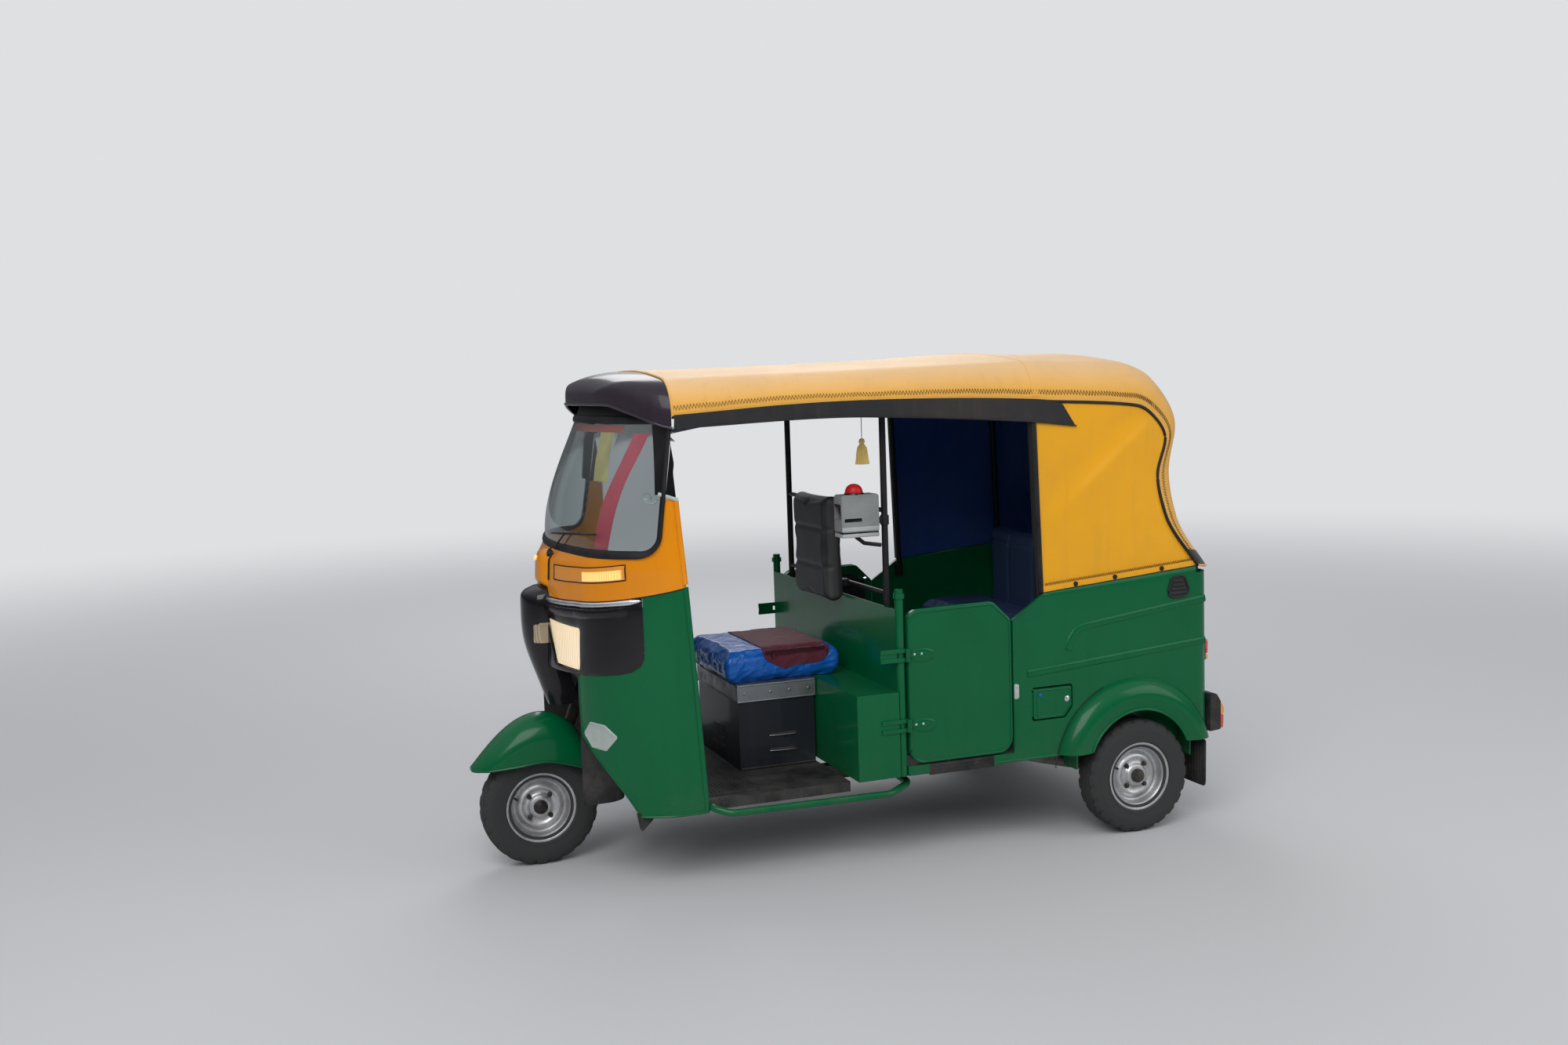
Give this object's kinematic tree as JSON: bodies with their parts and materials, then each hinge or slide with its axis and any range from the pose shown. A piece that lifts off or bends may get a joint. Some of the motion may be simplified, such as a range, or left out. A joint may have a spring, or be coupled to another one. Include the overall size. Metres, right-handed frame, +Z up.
{
  "type": "auto rickshaw",
  "caption": "Three-wheeled auto rickshaw with a pressed cowl, soft hood, half doors, rear bench, steered front wheel and two rear wheels",
  "frame": {"origin": "on the ground, below the middle of the overall box", "axes": "+X forward, +Y the vehicle's left side, +Z up"},
  "size_m": [2.6059, 1.3, 1.6984],
  "materials": {
    "green_paint": "deep green gloss enamel",
    "yellow_paint": "orange-yellow gloss enamel",
    "gloss_black": "glossy black",
    "black_plastic": "matt black",
    "lamp_glass": "fluted clear lens, warm lit",
    "amber_lens": "ribbed amber lens",
    "red_lens": "ribbed red lens",
    "clear_glass": "clear laminated glass",
    "clear_sheet": "clear flexible sheet",
    "silver_trim": "satin silver",
    "silver_steel": "silver painted steel",
    "brushed_metal": "plain steel",
    "dark_steel": "black painted steel",
    "cast_metal": "rough cast aluminium",
    "rubber": "matt black rubber",
    "tyre_rubber": "worn road tyre",
    "yellow_fabric": "coated yellow canvas with blue lining",
    "black_fabric": "coated black canvas",
    "navy_vinyl": "dark blue seat vinyl",
    "blue_vinyl": "bright blue sheet over a seat cushion",
    "black_vinyl": "black seat vinyl",
    "grey_plastic": "grey plastic with a red dome"
  },
  "bodies": {
    "vehicle_body": {"apron": "green_paint", "wheel_well": "black_plastic", "lamp_garnish": "gloss_black", "headlamps": "lamp_glass", "bright_strip": "silver_trim", "cowl": "yellow_paint", "front_indicators": "amber_lens", "windscreen_header": "gloss_black", "windscreen_gasket": "rubber", "windscreen": "clear_glass", "visor": "gloss_black", "dash_panel": "black_plastic", "hood_roof": "yellow_fabric", "hood_back": "yellow_fabric", "rear_window": "clear_sheet", "hood_quarter_left": "yellow_fabric", "hood_quarter_right": "yellow_fabric", "side_valances": "black_fabric", "hood_frame": "dark_steel", "body_side_left": "green_paint", "body_side_right": "green_paint", "tail_panel": "green_paint", "rear_wheel_boxes": "green_paint", "cross_member": "green_paint", "floor_panels": "black_plastic", "bench_frame": "green_paint", "rear_cushion": "navy_vinyl", "rear_backrest": "navy_vinyl", "seat_box": "black_plastic", "seat_band": "brushed_metal", "driver_cushion": "blue_vinyl", "driver_backrest": "black_vinyl", "partition_frame": "dark_steel", "fare_meter": "grey_plastic", "engine": "cast_metal", "rear_suspension": "dark_steel", "underframe": "dark_steel", "step_rails": "green_paint", "silencer": "dark_steel", "rear_bumper": "dark_steel", "corner_lamps": "amber_lens", "tail_lamps": "red_lens", "mudflaps": "rubber"},
    "engine_lid": {"engine_lid": "green_paint"},
    "service_flap": {"service_flap": "green_paint"},
    "door_left": {"door_left": "green_paint"},
    "door_right": {"door_right": "green_paint"},
    "steering": {"steering_stem": "dark_steel", "front_suspension": "dark_steel", "front_mudguard": "green_paint", "handlebar": "dark_steel"},
    "wheel_front": {"tyre_front": "tyre_rubber", "rim_front": "silver_steel"},
    "wheel_rear_left": {"tyre_rear_left": "tyre_rubber", "rim_rear_left": "silver_steel"},
    "wheel_rear_right": {"tyre_rear_right": "tyre_rubber", "rim_rear_right": "silver_steel"}
  },
  "joints": [
    {"name": "steering", "type": "hinge", "parent": "vehicle_body", "child": "steering", "pos_m": [0.91051, 0, 0.6], "axis": [-0.3746, 0, 0.9272], "range_deg": [-40, 40]},
    {"name": "front_wheel_roll", "type": "hinge", "parent": "steering", "child": "wheel_front", "pos_m": [1.08, 0, 0.2], "axis": [0, 1, 0], "continuous": true},
    {"name": "rear_left_wheel_roll", "type": "hinge", "parent": "vehicle_body", "child": "wheel_rear_left", "pos_m": [-0.92, 0.577, 0.2], "axis": [0, 1, 0], "continuous": true},
    {"name": "rear_right_wheel_roll", "type": "hinge", "parent": "vehicle_body", "child": "wheel_rear_right", "pos_m": [-0.92, -0.577, 0.2], "axis": [0, 1, 0], "continuous": true},
    {"name": "left_door_swing", "type": "hinge", "parent": "vehicle_body", "child": "door_left", "pos_m": [-0.047, 0.6083, 0.6], "axis": [0, 0, -1], "range_deg": [0, 80]},
    {"name": "right_door_swing", "type": "hinge", "parent": "vehicle_body", "child": "door_right", "pos_m": [-0.047, -0.6083, 0.6], "axis": [0, 0, 1], "range_deg": [0, 80]},
    {"name": "service_flap_swing", "type": "hinge", "parent": "vehicle_body", "child": "service_flap", "pos_m": [-0.513, 0.597, 0.495], "axis": [0, 0, -1], "range_deg": [0, 85]},
    {"name": "engine_lid_swing", "type": "hinge", "parent": "vehicle_body", "child": "engine_lid", "pos_m": [-1.237, 0, 0.793], "axis": [0, 1, 0], "range_deg": [0, 80]}
  ]
}
